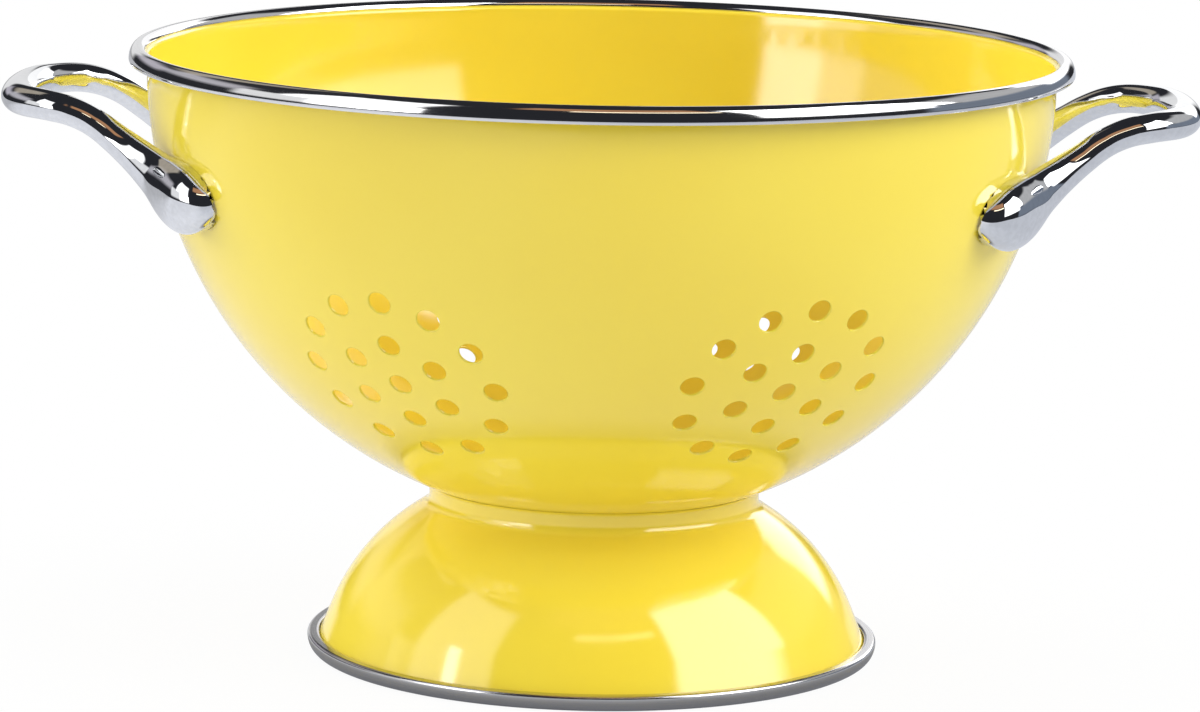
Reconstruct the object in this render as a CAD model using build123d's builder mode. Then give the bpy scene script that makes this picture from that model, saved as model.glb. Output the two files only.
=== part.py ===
from build123d import *
import os
from math import asin, atan2, cos, degrees, hypot, radians, sin, sqrt, tan

# A two-handled colander on a domed foot, in millimetres.
# +Z is up and the origin is on the table, under the middle of the bowl.
# The handles lie along X, and the front of the colander faces -Y.

os.makedirs("parts", exist_ok=True)

# Overall: the foot's height is at its seat under the bowl, and the handle's
# reach is from the rim band to the outside of the grip
foot_height = 46.9
rim_band_diameter = 260.0
foot_band_diameter = 159.2
handle_reach = 35.0

# Sheet and trim
bowl_wall = 0.8
foot_wall = 0.8
rim_band_tube = 4.9
foot_band_tube = 4.54
band_wall = 0.5
seat_gap = 0.05

# Bowl
bowl_straight = 3.0
bowl_lip_reach = 0.9
bowl_lip_bend = 0.4
bowl_bottom_inset = 3.75
bowl_bottom_corner = 10.0

# Drain holes: one in the middle, then rings of 6 and 12
drain_hole_diameter = 6.4
drain_ring_spacing = 13.7
drain_edge_break = 0.25
drain_ring_counts = (6, 12)
drain_group_drop_angle = 36.5
drain_group_side_angles = (30.0, 150.0, 210.0, 330.0)
drain_pattern_turn = -4.0

# Foot: the shoulder share is of the way out from the neck to the root of the lip.
# From the straight line between those two, the dome starts flatter by one angle
# and ends steeper by the other.
neck_diameter = 92.0
neck_root_radius = 3.5
weld_flange_width = 4.0
shoulder_share = 0.18
shoulder_drop = 8.9
dome_start_angle = 20.65
dome_end_angle = 13.35
foot_lip_width = 1.85
foot_lip_bend = 2.0
foot_lip_height = 2.9
foot_lip_reach = 1.0
foot_slot_angles = (110.0, 170.0)
foot_land = 0.15

# Handles
grip_drop = 14.8
grip_thickness = 8.6
grip_depth = 9.6
pad_side_angle = 26.7
pad_drop_angle = 14.0
pad_length = 30.4
pad_width = 18.4
pad_edge = 2.2
pad_edge_round = 0.7
pad_tilt = 4.0
bulb_depth = 10.4
bulb_thickness = 15.8

# Screws and washers
screw_diameter = 5.0
screw_length = 8.0
screw_head_diameter = 9.0
screw_head_height = 2.8
screw_head_round = 1.2
recess_length = 5.0
recess_width = 1.1
recess_depth = 1.6
washer_diameter = 11.0
washer_thickness = 0.9
hole_play = 0.3
thread_play = 0.05
tap_spare = 1.0

# Places along one leg, from the middle of the grip to the pad. The first three
# shares are of the way out, the half spread and the rise from pad to grip. The
# last two are of the grip's depth and thickness.
leg_shares = (
    (1.00, 0.00, 1.00, 1.00, 1.00),
    (0.98, 0.27, 1.00, 1.00, 1.00),
    (0.92, 0.44, 1.00, 0.98, 0.99),
    (0.78, 0.59, 0.99, 0.96, 0.95),
    (0.65, 0.64, 0.93, 0.94, 0.92),
    (0.53, 0.67, 0.80, 0.92, 0.91),
    (0.41, 0.71, 0.60, 0.92, 0.98),
    (0.285, 0.775, 0.385, 0.96, 1.21),
)

# The same for the bulb over the pad, with the last two shares taken of the
# bulb's depth and thickness.
bulb_shares = (
    (0.175, 0.87, 0.193, 0.94, 0.85),
    (0.091, 0.974, 0.054, 1.00, 0.98),
    (0.030, 1.073, -0.037, 0.96, 1.00),
    (-0.012, 1.145, -0.088, 0.76, 0.84),
    (-0.034, 1.187, -0.103, 0.48, 0.56),
)
tip_shares = (-0.046, 1.210, -0.108)

# Places that follow from the sizes: the bowl stands on the neck of the foot,
# and the rim stands on the bowl
rim_band_ring = (rim_band_diameter - rim_band_tube) / 2
foot_band_ring = (foot_band_diameter - foot_band_tube) / 2
foot_band_height = foot_band_tube / 2 - foot_land
neck_radius = neck_diameter / 2
bowl_radius = rim_band_diameter / 2 - rim_band_tube - seat_gap
seat_radius = bowl_radius + seat_gap
bowl_centre_height = foot_height + sqrt(seat_radius**2 - neck_radius**2)
bowl_centre = (0, 0, bowl_centre_height)
rim_band_height = bowl_centre_height + bowl_straight
grip_height = rim_band_height + rim_band_tube / 2 - grip_drop


def wall_point(side_angle, drop_angle, radius):
    """A point at a radius from the bowl's centre, by its angle from +X and below the horizon."""
    across = radius * cos(radians(drop_angle))
    return Vector(
        across * cos(radians(side_angle)),
        across * sin(radians(side_angle)),
        bowl_centre_height - radius * sin(radians(drop_angle)),
    )


def wall_plane(side_angle, drop_angle, radius):
    """A plane that faces outward on the bowl's wall, with its x axis level."""
    origin = wall_point(side_angle, drop_angle, radius)
    outward = origin - Vector(*bowl_centre)
    level = Vector(-sin(radians(side_angle)), cos(radians(side_angle)), 0)
    return Plane(origin=origin, x_dir=level, z_dir=outward)


# Bowl: a hemisphere with a short upright rim, an out-turned lip and a flat bottom
corner_across = neck_radius - weld_flange_width - bowl_bottom_inset
corner_drop = sqrt((bowl_radius - bowl_bottom_corner) ** 2 - corner_across**2)
bowl_bottom_height = bowl_centre_height - corner_drop - bowl_bottom_corner
lip_low = rim_band_height - bowl_wall / 2
lip_end = rim_band_ring + bowl_lip_reach


def bowl_skin(depth):
    """The bowl's half outline at a depth inside its outer face, drawn in the open BuildLine."""
    radius = bowl_radius - depth
    corner = bowl_bottom_corner - depth
    bend = bowl_lip_bend + depth
    corner_centre = (corner_across, bowl_bottom_height + bowl_bottom_corner)
    start_angle = degrees(atan2(-corner_drop, corner_across))
    bend_centre = (bowl_radius + bowl_lip_bend, lip_low - bowl_lip_bend)
    Line((0, bowl_bottom_height + depth), (corner_across, bowl_bottom_height + depth))
    CenterArc(corner_centre, corner, -90, 90 + start_angle)
    CenterArc((0, bowl_centre_height), radius, start_angle, -start_angle)
    Line((radius, bowl_centre_height), (radius, bend_centre[1]))
    CenterArc(bend_centre, bend, 90, 90)
    Line((bend_centre[0], lip_low + depth), (lip_end, lip_low + depth))


def drain_pattern(plane):
    """Planes of one group of holes, spread over the wall around the given plane."""
    yield plane
    spread = degrees(drain_ring_spacing / bowl_radius)
    for ring, count in enumerate(drain_ring_counts, start=1):
        half_step = 180 / count if ring == 1 else 0
        for index in range(count):
            turn = 360 / count * index + half_step + drain_pattern_turn
            aim = plane.z_dir.rotate(Axis((0, 0, 0), plane.y_dir), spread * ring)
            aim = aim.rotate(Axis((0, 0, 0), plane.z_dir), turn)
            yield Plane(origin=Vector(*bowl_centre) + aim * bowl_radius, z_dir=aim)


pad_side_angles = (-pad_side_angle, pad_side_angle, 180 - pad_side_angle, 180 + pad_side_angle)
pad_planes = [wall_plane(angle, pad_drop_angle, bowl_radius) for angle in pad_side_angles]
drain_planes = []
for side_angle in drain_group_side_angles:
    centre = wall_plane(side_angle - 90, drain_group_drop_angle, bowl_radius)
    drain_planes += list(drain_pattern(centre))

with BuildPart() as bowl:
    with BuildSketch(Plane.XZ):
        with BuildLine():
            bowl_skin(0)
            bowl_skin(bowl_wall)
            Line((0, bowl_bottom_height), (0, bowl_bottom_height + bowl_wall))
            Line((lip_end, lip_low), (lip_end, lip_low + bowl_wall))
        make_face()
    revolve(axis=Axis.Z)
    plain_edges = bowl.edges()
    with Locations(*drain_planes):
        Cylinder(drain_hole_diameter / 2, 4 * bowl_wall, mode=Mode.SUBTRACT)
    with Locations((0, 0, bowl_bottom_height)):
        Cylinder(drain_hole_diameter / 2, 4 * bowl_wall, mode=Mode.SUBTRACT)
        for ring, count in enumerate(drain_ring_counts, start=1):
            with PolarLocations(drain_ring_spacing * ring, count):
                Cylinder(drain_hole_diameter / 2, 4 * bowl_wall, mode=Mode.SUBTRACT)
    chamfer((bowl.edges() - plain_edges).filter_by(GeomType.LINE, reverse=True), drain_edge_break)
    with Locations(*pad_planes):
        Cylinder(screw_diameter / 2 + hole_play, 4 * bowl_wall, mode=Mode.SUBTRACT)
bowl.part.label = "bowl"


def band(ring, height, tube, slot_from, slot_to, land):
    """A rolled trim ring with a slot between two angles around its tube, cut flat at the land."""
    with BuildPart() as trim:
        with BuildSketch(Plane.XZ):
            with Locations((ring, height)):
                Circle(tube / 2)
                Circle(tube / 2 - band_wall, mode=Mode.SUBTRACT)
                with BuildLine():
                    near = PolarLine((ring, height), tube, slot_from)
                    far = PolarLine((ring, height), tube, slot_to)
                    Line(near @ 1, far @ 1)
                make_face(mode=Mode.SUBTRACT)
        revolve(axis=Axis.Z)
        if land > 0:
            split(bisect_by=Plane.XY, keep=Keep.TOP)
    return trim.part


lip_half_angle = degrees(asin((bowl_wall / 2 + 3 * seat_gap) / (rim_band_tube / 2 - band_wall)))
rim_band = band(rim_band_ring, rim_band_height, rim_band_tube,
                180 - lip_half_angle, 180 + lip_half_angle, 0)
rim_band.label = "bowl_rim_band"

# Foot: a short neck, a domed shoulder and a lip turned out into its trim
lip_tip = (foot_band_ring + foot_lip_reach, foot_lip_height)
lip_root = (lip_tip[0] - foot_lip_width, foot_lip_height)
shoulder_across = neck_radius + shoulder_share * (lip_root[0] - neck_radius)
shoulder_height = foot_height - shoulder_drop
dome_across = lip_root[0] - shoulder_across
dome_rise = shoulder_height - foot_lip_height
dome_slope = degrees(atan2(dome_rise, dome_across))
dome_start = radians(dome_slope - dome_start_angle)
dome_turn = radians(dome_start_angle + dome_end_angle)
dome_tangent = hypot(dome_across, dome_rise) * sin(radians(dome_end_angle)) / sin(dome_turn)
dome_radius = dome_tangent / tan(dome_turn / 2)
dome_corner = (shoulder_across + dome_tangent * cos(dome_start),
               shoulder_height - dome_tangent * sin(dome_start))
neck_foot = (neck_radius, shoulder_height + (shoulder_across - neck_radius) * tan(dome_start))


def under_bowl(across):
    """The height of the foot's seat under the bowl, at a distance from the axis."""
    return bowl_centre_height - sqrt(seat_radius**2 - across**2)


with BuildPart() as foot:
    with BuildSketch(Plane.XZ):
        with BuildLine():
            flange_in = neck_radius - weld_flange_width
            flange_mid = neck_radius - weld_flange_width / 2
            ThreePointArc((flange_in, under_bowl(flange_in)),
                          (flange_mid, under_bowl(flange_mid)),
                          (neck_radius, under_bowl(neck_radius)))
            FilletPolyline((neck_radius, under_bowl(neck_radius)), neck_foot, dome_corner, lip_root,
                           lip_tip, radius=[neck_root_radius, dome_radius, foot_lip_bend])
            offset(amount=foot_wall, side=Side.RIGHT)
        make_face()
    revolve(axis=Axis.Z)
foot.part.label = "foot"

foot_band = band(foot_band_ring, foot_band_height, foot_band_tube, *foot_slot_angles, foot_land)
foot_band.label = "foot_rim_band"

# Seats of the washers and screw heads, from the outer face of the bowl: each
# washer bears on the inside of the wall, round its own edge
bowl_inner_radius = bowl_radius - bowl_wall
washer_seat = sqrt(bowl_inner_radius**2 - (washer_diameter / 2) ** 2) - bowl_radius - seat_gap
head_seat = washer_seat - washer_thickness

# Handles: one swelling bar from pad to pad, with an oval flange against the bowl
handle_seat = bowl_radius + 2 * seat_gap
pad_centre = wall_point(pad_side_angle, pad_drop_angle, handle_seat)
grip_across = rim_band_diameter / 2 + handle_reach - grip_depth / 2


def leg_point(out, spread, rise):
    """A point of the rear right leg, from its shares of the way from pad to grip."""
    return Vector(
        pad_centre.X + out * (grip_across - pad_centre.X),
        spread * pad_centre.Y,
        pad_centre.Z + rise * (grip_height - pad_centre.Z),
    )


half_stations = [(leg_point(*row[:3]), row[3] * grip_depth, row[4] * grip_thickness)
                 for row in leg_shares]
half_stations += [(leg_point(*row[:3]), row[3] * bulb_depth, row[4] * bulb_thickness)
                  for row in bulb_shares]
front_half = [(Vector(at.X, -at.Y, at.Z), deep, thick) for at, deep, thick in half_stations[1:]]
stations = front_half[::-1] + half_stations
rear_tip = leg_point(*tip_shares)
front_tip = Vector(rear_tip.X, -rear_tip.Y, rear_tip.Z)

with BuildLine() as handle_line:
    Spline([front_tip] + [at for at, deep, thick in stations] + [rear_tip])
handle_path = handle_line.edges()[0]

with BuildPart() as pads:
    for pad_plane in pad_planes[:2]:
        with BuildSketch(pad_plane):
            slant = pad_tilt if pad_plane.origin.Y < 0 else -pad_tilt
            with Locations(Rotation(0, 0, slant)):
                Ellipse(pad_length / 2, pad_width / 2)
        extrude(amount=2 * pad_edge, both=True)
    with Locations(bowl_centre):
        Sphere(handle_seat + pad_edge, mode=Mode.INTERSECT)
    crown = pads.faces().filter_by(GeomType.SPHERE)
    fillet(crown.edges(), pad_edge_round)

with BuildPart() as right_handle:
    for at, deep, thick in stations:
        along = handle_path.tangent_at(handle_path.param_at_point(at))
        level = Vector(0, 0, 1).cross(along)
        with BuildSketch(Plane(origin=at, x_dir=level, z_dir=along)):
            Ellipse(deep / 2, thick / 2)
    loft()
    add(pads.part)
    with Locations(bowl_centre):
        Sphere(handle_seat, mode=Mode.SUBTRACT)
    for pad_plane in pad_planes[:2]:
        with BuildSketch(pad_plane):
            Circle(screw_diameter / 2 + thread_play)
        extrude(amount=head_seat + screw_length + tap_spare, mode=Mode.SUBTRACT)
right_handle.part.label = "right_handle"

with BuildPart() as left_handle:
    add(right_handle.part)
    mirror(about=Plane.YZ, mode=Mode.REPLACE)
left_handle.part.label = "left_handle"


def make_washer(plane):
    """One flat washer inside the bowl, behind the pad on the given plane."""
    with BuildPart() as washer:
        with BuildSketch(plane.offset(washer_seat)):
            Circle(washer_diameter / 2)
            Circle(screw_diameter / 2 + hole_play, mode=Mode.SUBTRACT)
        extrude(amount=-washer_thickness)
    return washer.part


def make_screw(plane):
    """One pan-head screw, with its head inside the bowl and its tip in the handle."""
    with BuildPart() as screw:
        with BuildSketch(plane.offset(head_seat)):
            Circle(screw_head_diameter / 2)
        extrude(amount=-screw_head_height)
        inner_face = screw.faces().sort_by(Axis(plane.origin, plane.z_dir))[0]
        fillet(inner_face.edges(), screw_head_round)
        with BuildSketch(plane.offset(head_seat)):
            Circle(screw_diameter / 2)
        extrude(amount=screw_length)
        with BuildSketch(plane.offset(head_seat - screw_head_height)):
            Rectangle(recess_length, recess_width)
            Rectangle(recess_width, recess_length)
        extrude(amount=recess_depth, mode=Mode.SUBTRACT)
    return screw.part


for piece in (bowl, foot, right_handle, left_handle):
    export_step(piece.part, f"parts/{piece.part.label}.step")
for trim in (rim_band, foot_band):
    export_step(trim, f"parts/{trim.label}.step")
pad_names = ("right_front", "right_rear", "left_rear", "left_front")
for pad_name, pad_plane in zip(pad_names, pad_planes):
    for kind, make in (("screw", make_screw), ("washer", make_washer)):
        fastener = make(pad_plane)
        fastener.label = f"{pad_name}_{kind}"
        export_step(fastener, f"parts/{fastener.label}.step")
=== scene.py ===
"""A two-handled colander on a domed foot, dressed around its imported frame.

Lengths are in metres and +Z is up. The handles lie along X and the front faces -Y.
"""
import logging
import math
from collections.abc import Iterator, Sequence
from dataclasses import dataclass, field
from enum import Enum

import bpy
import numpy as np
from mathutils import Matrix, Vector
from mathutils.geometry import delaunay_2d_cdt


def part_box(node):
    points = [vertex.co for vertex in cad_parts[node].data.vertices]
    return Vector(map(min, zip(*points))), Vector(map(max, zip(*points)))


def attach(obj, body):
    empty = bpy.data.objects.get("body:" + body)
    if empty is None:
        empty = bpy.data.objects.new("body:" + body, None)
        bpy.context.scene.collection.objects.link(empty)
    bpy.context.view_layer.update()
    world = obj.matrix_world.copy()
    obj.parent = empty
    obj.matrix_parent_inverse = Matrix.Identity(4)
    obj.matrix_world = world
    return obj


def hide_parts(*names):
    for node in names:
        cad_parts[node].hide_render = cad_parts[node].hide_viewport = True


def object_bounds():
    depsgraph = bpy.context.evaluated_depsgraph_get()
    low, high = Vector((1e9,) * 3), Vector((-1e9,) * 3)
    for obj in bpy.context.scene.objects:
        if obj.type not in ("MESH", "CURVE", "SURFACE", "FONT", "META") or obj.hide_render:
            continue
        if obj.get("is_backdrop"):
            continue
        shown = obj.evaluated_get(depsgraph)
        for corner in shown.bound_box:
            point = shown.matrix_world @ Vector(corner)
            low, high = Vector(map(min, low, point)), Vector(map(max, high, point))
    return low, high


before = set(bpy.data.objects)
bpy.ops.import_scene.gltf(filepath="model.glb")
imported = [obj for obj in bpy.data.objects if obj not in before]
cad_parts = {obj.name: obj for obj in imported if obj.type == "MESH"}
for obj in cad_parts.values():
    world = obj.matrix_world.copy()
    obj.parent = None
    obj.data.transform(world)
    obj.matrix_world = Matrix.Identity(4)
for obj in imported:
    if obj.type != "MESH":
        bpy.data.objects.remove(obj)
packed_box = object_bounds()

LOG = logging.getLogger("colander")
MM = 0.001
ROOT = "root"
# The mark by which the paint knows the cut edges of the holes.
EDGE_MARK = "coat_edge"
# Two points of an outline that lie closer than this, in metres, are one.
SAME_PLACE = 1e-9
# The angle of each handle pad from the X axis, and below the bowl's middle, in degrees.
PAD_SIDE = 26.7
PAD_DROP = 14.0
Triple = tuple[float, float, float]
Pair = tuple[float, float]
Sockets = dict[str | int, object]
LEFT: Triple = (-1.0, 0.0, 0.0)
RIGHT: Triple = (1.0, 0.0, 0.0)
FRONT: Triple = (0.0, -1.0, 0.0)
BACK: Triple = (0.0, 1.0, 0.0)
UP: Triple = (0.0, 0.0, 1.0)
WHITE: Triple = (1.0, 1.0, 1.0)


class Slot(Enum):
    """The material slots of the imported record."""

    COAT = "yellow_coat"
    RIM = "polished_trim"
    FOOT_TRIM = "satin_trim"
    CHROME = "chrome_plate"
    STEEL = "plain_steel"


class Socket:
    """An output socket of a node tree, with the operators that shader sums use."""

    def __init__(self, tree: "ShaderTree", output: bpy.types.NodeSocket) -> None:
        """Keep the socket and the tree that it belongs to."""
        self.tree = tree
        self.output = output

    def maths(self, operation: str, other: "Socket | float", swapped: bool = False) -> "Socket":
        """Add one Math node on this value and another, the other one first where swapped."""
        values = [other, self] if swapped else [self, other]
        return self.tree.add("ShaderNodeMath", {"operation": operation}, dict(enumerate(values)))

    def __add__(self, other: "Socket | float") -> "Socket":
        """Return self + other."""
        return self.maths("ADD", other)

    def __sub__(self, other: "Socket | float") -> "Socket":
        """Return self - other."""
        return self.maths("SUBTRACT", other)

    def __rsub__(self, other: float) -> "Socket":
        """Return other - self."""
        return self.maths("SUBTRACT", other, swapped=True)

    def __mul__(self, other: "Socket | float") -> "Socket":
        """Return self * other."""
        return self.maths("MULTIPLY", other)

    __radd__ = __add__
    __rmul__ = __mul__

    def step(self, low: float, high: float, top: float = 1.0) -> "Socket":
        """Rise smoothly from 0 to a top value as this value goes from low to high."""
        ends = {"Value": self, "From Min": low, "From Max": high, "To Min": 0.0, "To Max": top}
        return self.tree.add("ShaderNodeMapRange", {"interpolation_type": "SMOOTHSTEP"}, ends)

    def dot(self, other: Triple) -> "Socket":
        """Return this vector's dot product with a fixed one."""
        return self.tree.vector("DOT_PRODUCT", {0: self, 1: other}, "Value")


class ShaderTree:
    """A node tree that is built from Python expressions."""

    def __init__(self, tree: bpy.types.NodeTree) -> None:
        """Empty the tree and keep it.

        Args:
            tree: the node tree of a material or of the world.
        """
        self.nodes = tree.nodes
        self.links = tree.links
        self.nodes.clear()

    def add(self, kind: str, settings: dict[str, object] | None = None,
            sockets: Sockets | None = None, output: str | int = 0) -> Socket:
        """Add one node.

        Args:
            kind: the node's type.
            settings: its properties, set first.
            sockets: values or links of its input sockets, by name or place.
            output: the name or place of the output that is wanted.

        Returns:
            That output.
        """
        node = self.nodes.new(kind)
        for name, value in (settings or {}).items():
            setattr(node, name, value)
        for name, value in (sockets or {}).items():
            if isinstance(value, Socket):
                self.links.new(value.output, node.inputs[name])
            else:
                node.inputs[name].default_value = value
        return Socket(self, node.outputs[output]) if node.outputs else Socket(self, None)

    def vector(self, operation: str, sockets: Sockets, output: str = "Vector") -> Socket:
        """Add one Vector Math node."""
        return self.add("ShaderNodeVectorMath", {"operation": operation}, sockets, output)

    def place(self) -> Socket:
        """Return the point on the surface, in the object's own metres."""
        return self.add("ShaderNodeTexCoord", output="Object")

    def noise(self, place: Socket, size: float, layers: float = 2.0) -> Socket:
        """Return soft noise from 0 to 1, with blotches of a size in metres and finer layers."""
        return self.add("ShaderNodeTexNoise", {}, {"Vector": place, "Scale": 1 / size, "Detail": layers})

    def mix(self, share: "Socket | float", first: object, second: object) -> Socket:
        """Mix two colours by a share of the second."""
        sockets = {0: share, 6: self.colour(first), 7: self.colour(second)}
        return self.add("ShaderNodeMix", {"data_type": "RGBA"}, sockets, 2)

    def scaled(self, colour: object, share: Socket) -> Socket:
        """Multiply a colour by a value."""
        return self.vector("SCALE", {0: colour, "Scale": share})

    def summed(self, first: object, second: Socket) -> Socket:
        """Add two colours."""
        return self.vector("ADD", {0: first, 1: second})

    def bump(self, height: Socket) -> Socket:
        """Turn a height in metres into a normal."""
        return self.add("ShaderNodeBump", {}, {"Strength": 1.0, "Distance": 1.0, "Height": height})

    @staticmethod
    def colour(value: object) -> object:
        """Give a plain colour its fourth number."""
        return (*value, 1.0) if isinstance(value, tuple) else value


class Finish:
    """What every finish shares: a material built from one Principled shader."""

    slot: Slot

    def shade(self, tree: ShaderTree) -> Sockets:
        """Return the values and links of the Principled shader's sockets."""
        raise NotImplementedError

    def material(self) -> bpy.types.Material:
        """Build the material.

        Returns:
            A new material, named for its slot.
        """
        material = bpy.data.materials.new(f"{self.slot.value}_finish")
        material.use_nodes = True
        tree = ShaderTree(material.node_tree)
        surface = tree.add("ShaderNodeBsdfPrincipled", {}, self.shade(tree))
        tree.add("ShaderNodeOutputMaterial", {}, {"Surface": surface})
        return material


@dataclass(frozen=True)
class CoatFinish(Finish):
    """Glossy baked enamel paint over pressed steel, with painted shade low inside the bowl.

    A range holds the two values between which a change runs.
    """

    slot: Slot = Slot.COAT
    gloss: float = 0.085
    ior: float = 1.75
    tone: Triple = (0.93, 0.75, 0.066)
    deep_tone: Triple = (0.92, 0.72, 0.054)
    cloud_size: float = 90 * MM
    cloud_range: Pair = (0.3, 0.7)
    smudge: float = 0.05
    smudge_size: float = 15 * MM
    smudge_layers: float = 5.0
    smudge_range: Pair = (0.35, 0.75)
    edge_tone: Triple = (0.70, 0.62, 0.05)
    edge_share: float = 0.55
    speck_tone: Triple = (0.45, 0.38, 0.08)
    speck_share: float = 0.8
    speck_spacing: float = 16 * MM
    speck_radius: float = 0.20 * MM
    speck_chance: Pair = (0.86, 0.9)
    speck_gloss: float = 0.3
    speck_height: float = 0.02 * MM
    # Painted shade: a darker tone painted on the inner face low in the bowl, standing in for the shade
    # there.
    painted_basin_shade_tone: Triple = (0.76, 0.54, 0.040)
    painted_basin_shade_range: Pair = (105 * MM, 75 * MM)
    bowl_middle: float = 165 * MM
    inner_radius: float = 124.5 * MM
    skin_blend: float = 0.1 * MM
    peel_size: float = 2.6 * MM
    peel_height: float = 0.0016 * MM
    wave_size: float = 45 * MM
    wave_height: float = 0.05 * MM

    def shade(self, tree: ShaderTree) -> Sockets:
        """Mix the paint's clouds, specks and cut edges, the painted shade low inside the bowl, and its
        orange peel.

        Args:
            tree: the material's tree.

        Returns:
            The values and links of the Principled shader's sockets.
        """
        place = tree.place()
        clouds = tree.noise(place, self.cloud_size)
        smudges = tree.noise(place, self.smudge_size, self.smudge_layers)
        cells = {"Vector": place, "Scale": 1 / self.speck_spacing}
        distance = tree.add("ShaderNodeTexVoronoi", {}, cells, "Distance")
        chance = tree.add("ShaderNodeTexVoronoi", {}, cells, "Color").dot(RIGHT)
        reach = self.speck_radius / self.speck_spacing
        specks = distance.step(reach, reach / 2) * chance.step(*self.speck_chance)
        edges = tree.add("ShaderNodeAttribute", {"attribute_name": EDGE_MARK}, output="Fac")
        # Painted shade: the inner face darkens towards the bowl's bottom, where the real bowl lies in
        # shade.
        from_middle = tree.vector("DISTANCE", {0: place, 1: (0.0, 0.0, self.bowl_middle)}, "Value")
        inside = from_middle.step(self.inner_radius + self.skin_blend, self.inner_radius - self.skin_blend)
        low = place.dot(UP).step(*self.painted_basin_shade_range)
        paint = tree.mix(clouds.step(*self.cloud_range), self.tone, self.deep_tone)
        paint = tree.mix(inside * low, paint, self.painted_basin_shade_tone)
        paint = tree.mix(edges * self.edge_share, paint, self.edge_tone)
        paint = tree.mix(specks * self.speck_share, paint, self.speck_tone)
        smudged = smudges.step(*self.smudge_range, self.smudge)
        peel = tree.noise(place, self.peel_size) * self.peel_height
        wave = tree.noise(place, self.wave_size, layers=1.0) * self.wave_height
        return {
            "Base Color": paint,
            "Roughness": self.gloss + smudged + specks * self.speck_gloss,
            "IOR": self.ior,
            "Normal": tree.bump(peel + wave - specks * self.speck_height),
        }


@dataclass(frozen=True)
class MetalFinish(Finish):
    """Bare or plated metal, with fine streaks that run round a ring or no way at all."""

    slot: Slot
    tone: Triple
    gloss: float
    streak_gloss: float
    streak_height: float
    wave_size: float
    wave_height: float
    round_streaks: bool = True
    streak_size: float = 0.12 * MM
    streak_length: float = 60 * MM
    streak_range: Pair = (0.3, 0.7)
    streak_share: float = 0.6
    streak_shade: float = 0.86
    gloss_range: Pair = (0.3, 0.8)
    cloud_size: float = 12 * MM
    cloud_range: Pair = (0.3, 0.8)
    cloud_share: float = 0.4
    cloud_shade: float = 0.92
    layers: float = 3.0
    ring_radius: float = 100 * MM

    def shade(self, tree: ShaderTree) -> Sockets:
        """Mix the metal's streaks, clouds and waves.

        Args:
            tree: the material's tree.

        Returns:
            The values and links of the Principled shader's sockets.
        """
        place = tree.place()
        grain = self.round_grain(tree, place) if self.round_streaks else place
        streaks = tree.noise(grain, self.streak_size, self.layers)
        streaked = tuple(self.streak_shade * value for value in self.tone)
        worn = tree.mix(streaks.step(*self.streak_range) * self.streak_share, self.tone, streaked)
        clouds = tree.noise(place, self.cloud_size, self.layers)
        clouded = tuple(self.cloud_shade * value for value in self.tone)
        waves = tree.noise(place, self.wave_size) * self.wave_height
        return {
            "Base Color": tree.mix(clouds.step(*self.cloud_range) * self.cloud_share, worn, clouded),
            "Metallic": 1.0,
            "Roughness": self.gloss + streaks.step(*self.gloss_range, self.streak_gloss),
            "Normal": tree.bump(streaks * self.streak_height + waves),
        }

    def round_grain(self, tree: ShaderTree, place: Socket) -> Socket:
        """Find a place that changes fast across a ring and slowly along it.

        Args:
            tree: the material's tree.
            place: the point on the surface.

        Returns:
            The place at which the streaks are read.
        """
        split = tree.add("ShaderNodeSeparateXYZ", {}, {"Vector": place})
        x, y, z = (Socket(tree, split.output.node.outputs[axis]) for axis in "XYZ")
        turn = x.maths("ARCTAN2", y) * (self.streak_size / self.streak_length)
        across = (x * x + y * y).maths("POWER", 0.5)
        return tree.add("ShaderNodeCombineXYZ", {}, {"X": across, "Y": z, "Z": turn * self.ring_radius})


def around(count: int, shift: float = 0.0) -> list[float]:
    """Return even angles round a circle, shifted by a share of a step."""
    return [2 * math.pi * (step + shift) / count for step in range(count)]


def polar(distance: float, angle: float, height: float = 0.0) -> Triple:
    """Return the place at a distance from the Z axis, an angle round it and a height."""
    return distance * math.cos(angle), distance * math.sin(angle), height


@dataclass(frozen=True)
class Spot:
    """A point of an outline beside the Z axis, with the way that its surface faces."""

    radius: float
    height: float
    out: float
    up: float

    def at(self, angle: float) -> Vector:
        """Return the point at an angle round the Z axis."""
        return Vector(polar(self.radius, angle, self.height))

    def facing(self, angle: float) -> Vector:
        """Return the surface's direction at an angle round the Z axis."""
        return Vector(polar(self.out, angle, self.up)).normalized()

    def inside(self, depth: float) -> "Spot":
        """Return the point that lies under this one, facing the other way."""
        return Spot(self.radius - depth * self.out, self.height - depth * self.up, -self.out, -self.up)

    def meets(self, other: "Spot") -> bool:
        """Tell whether this point and another are one."""
        return math.dist((self.radius, self.height), (other.radius, other.height)) < SAME_PLACE


def arc(centre: Pair, radius: float, start: float, end: float, steps: int, side: int = 1,
        tall: float | None = None) -> list[Spot]:
    """Return the points of an arc, or of a stretch of an ellipse.

    Args:
        centre: its centre's distance from the Z axis and height.
        radius: its radius, or an ellipse's half width.
        start: the first angle, in degrees from the outward direction.
        end: the last angle.
        steps: the number of steps.
        side: 1 where the surface faces away from the centre, and -1 where it faces the centre.
        tall: an ellipse's half height.

    Returns:
        The points, with their directions.
    """
    tall = tall or radius
    found = []
    for step in range(steps + 1):
        turn = math.radians(start + (end - start) * step / steps)
        out, up = math.cos(turn), math.sin(turn)
        length = side * math.hypot(out / radius, up / tall)
        found.append(Spot(centre[0] + radius * out, centre[1] + tall * up,
                          out / (radius * length), up / (tall * length)))
    return found


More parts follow.
